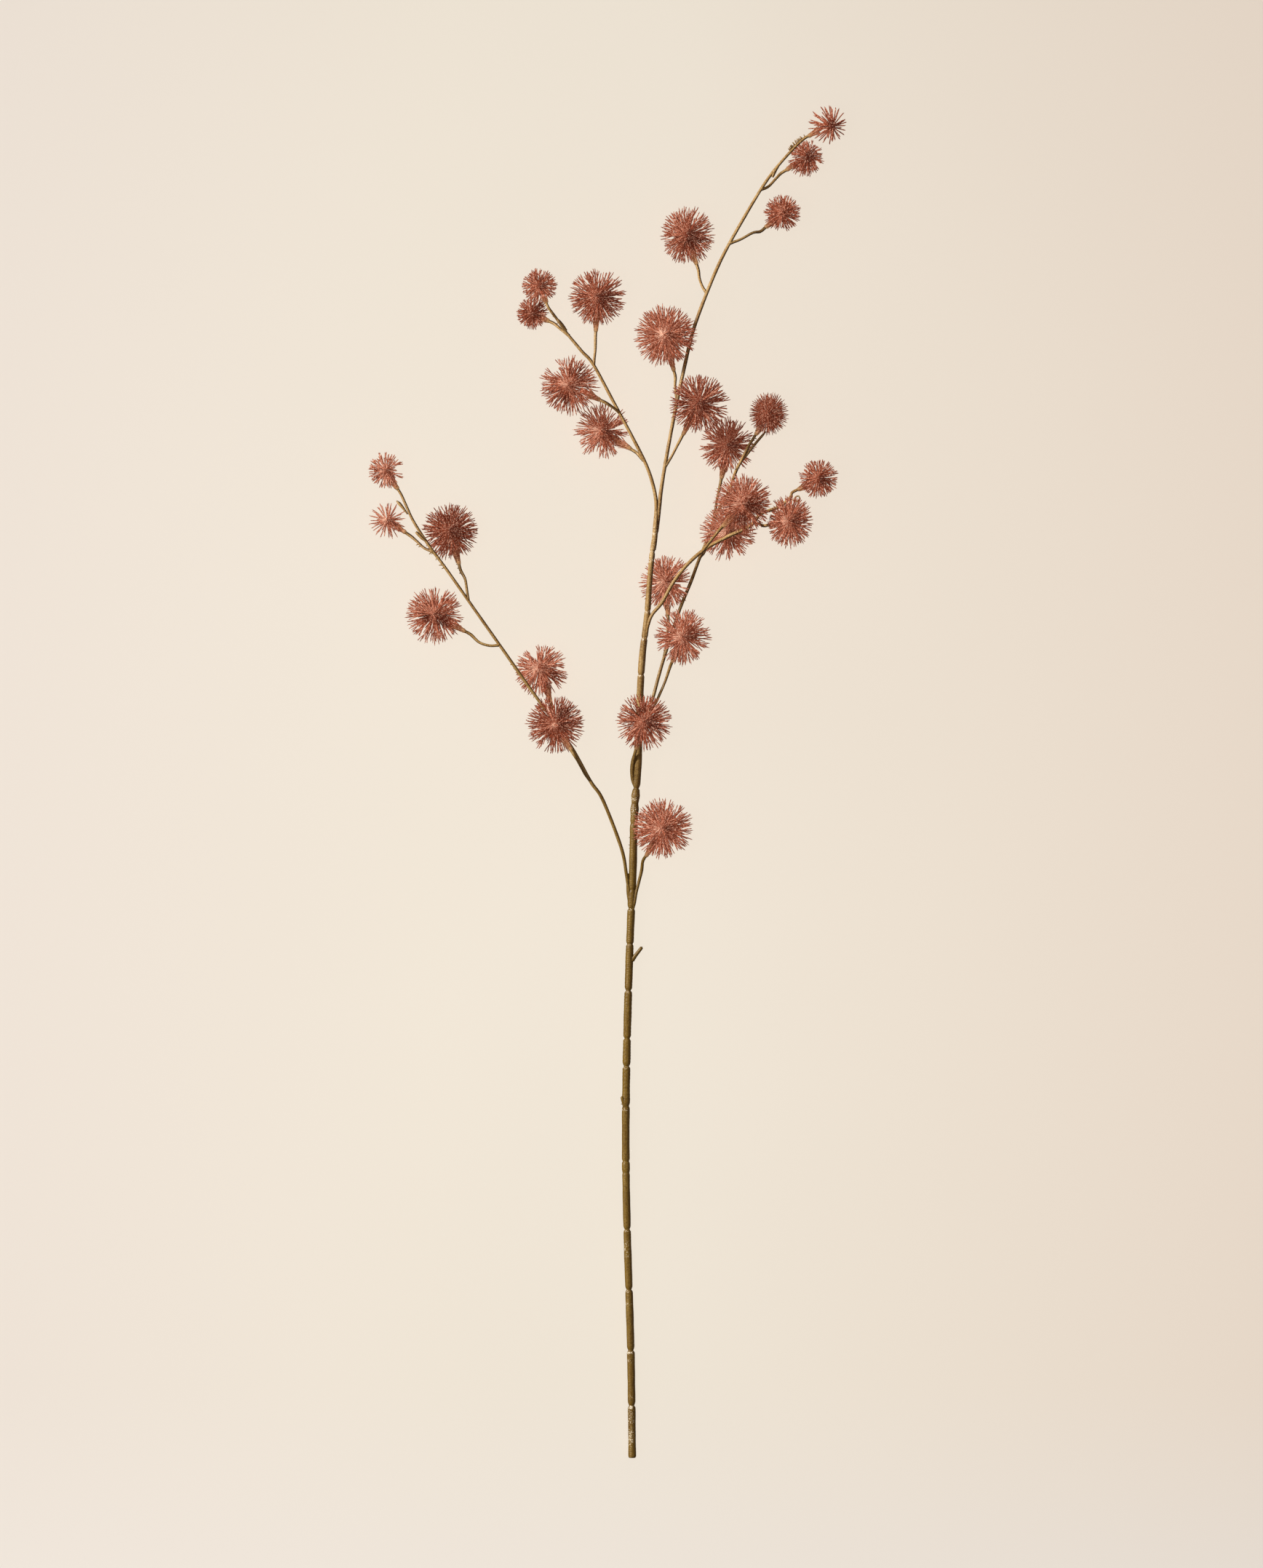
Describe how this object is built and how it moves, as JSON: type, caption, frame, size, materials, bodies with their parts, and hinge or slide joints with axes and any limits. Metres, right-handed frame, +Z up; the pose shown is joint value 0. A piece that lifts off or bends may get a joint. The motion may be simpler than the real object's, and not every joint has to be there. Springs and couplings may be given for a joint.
{
  "type": "dried thistle branch",
  "caption": "Long jointed stem with forking side branches and round spiny heads on thin stalks, lying on a table.",
  "frame": {"origin": "on the surface that the branch lies on, under the middle of its bounding box", "axes": "+Y along the stem from its cut end to its tip, +X to the right of the branch as seen from above, +Z up from the surface"},
  "size_m": [0.3172, 0.8974, 0.0721],
  "materials": {
    "stem": "olive-brown moulded stem with pale worn flecks at its joints, slightly glossy",
    "head": "dusty rose-brown spines, darker at the core and lighter at the tips, satin"
  },
  "bodies": {
    "root": {"main_stem": "stem", "branch_left": "stem", "branch_upper_left": "stem", "branch_right_front": "stem", "branch_right_rear": "stem", "head_stem_1": "head", "head_stem_2": "head", "head_stem_3": "head", "head_stem_4": "head", "head_stem_5": "head", "head_stem_6": "head", "head_stem_7": "head", "head_stem_8": "head", "head_left_1": "head", "head_left_2": "head", "head_left_3": "head", "head_left_4": "head", "head_left_5": "head", "head_left_6": "head", "head_upper_left_1": "head", "head_upper_left_2": "head", "head_upper_left_3": "head", "head_upper_left_4": "head", "head_upper_left_5": "head", "head_right_front_1": "head", "head_right_front_2": "head", "head_right_front_3": "head", "head_right_rear_1": "head", "head_right_rear_2": "head", "head_right_rear_3": "head", "head_right_rear_4": "head", "head_right_rear_5": "head"}
  },
  "joints": []
}
